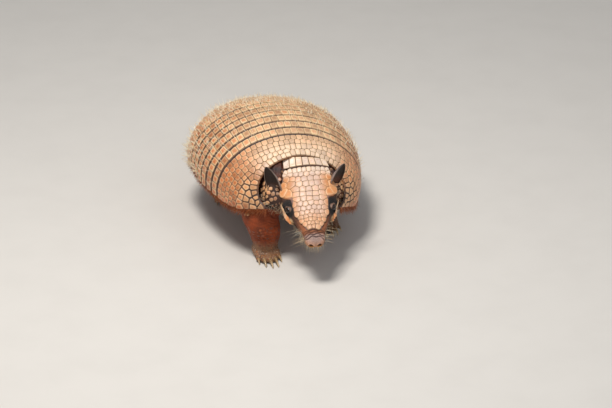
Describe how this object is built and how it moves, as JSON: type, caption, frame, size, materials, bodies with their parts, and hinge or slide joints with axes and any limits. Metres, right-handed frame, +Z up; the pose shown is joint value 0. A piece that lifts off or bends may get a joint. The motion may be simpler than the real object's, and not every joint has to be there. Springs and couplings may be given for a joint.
{
  "type": "six-banded armadillo model",
  "caption": "Life-size armadillo standing mid-step, head turned to its right, with plated shell, movable-looking bands, clawed feet and a ringed tail.",
  "frame": {"origin": "Middle of the outline's box on the floor, under the animal.", "axes": "+Z up, -Y the way the animal faces, +X to its left."},
  "size_m": [0.2176, 0.5258, 0.1543],
  "materials": {
    "shell": "Bony scutes under thin horn, satin, pale tan to orange with brown seams.",
    "skin": "Wrinkled matt skin, orange-brown to grey-brown.",
    "dark_skin": "Thin grey-brown ear skin with fine pebbling.",
    "nose_skin": "Moist pink-grey pad, creased across.",
    "claw_horn": "Worn horn, yellow-grey, streaked lengthwise.",
    "eye": "Wet dark brown eye with a clear gloss."
  },
  "bodies": {
    "root": {"band_1": "shell", "band_2": "shell", "band_3": "shell", "band_4": "shell", "band_5": "shell", "band_6": "shell", "ear_left": "dark_skin", "ear_right": "dark_skin", "eye_left": "eye", "eye_right": "eye", "foreclaw_left_1": "claw_horn", "foreclaw_left_2": "claw_horn", "foreclaw_left_3": "claw_horn", "foreclaw_left_4": "claw_horn", "foreclaw_left_5": "claw_horn", "foreclaw_right_1": "claw_horn", "foreclaw_right_2": "claw_horn", "foreclaw_right_3": "claw_horn", "foreclaw_right_4": "claw_horn", "foreclaw_right_5": "claw_horn", "forefoot_left": "skin", "forefoot_right": "skin", "foreleg_left": "skin", "foreleg_right": "skin", "head": "skin", "head_shield": "shell", "hindclaw_left_1": "claw_horn", "hindclaw_left_2": "claw_horn", "hindclaw_left_3": "claw_horn", "hindclaw_left_4": "claw_horn", "hindclaw_left_5": "claw_horn", "hindclaw_right_1": "claw_horn", "hindclaw_right_2": "claw_horn", "hindclaw_right_3": "claw_horn", "hindclaw_right_4": "claw_horn", "hindclaw_right_5": "claw_horn", "hindfoot_left": "skin", "hindfoot_right": "skin", "hindleg_left": "skin", "hindleg_right": "skin", "lower_jaw": "skin", "neck": "skin", "nose": "nose_skin", "nuchal_band": "shell", "pelvic_shield": "shell", "scapular_shield": "shell", "tail_base": "skin", "tail_middle": "skin", "tail_tip": "skin", "trunk": "skin"}
  },
  "joints": []
}
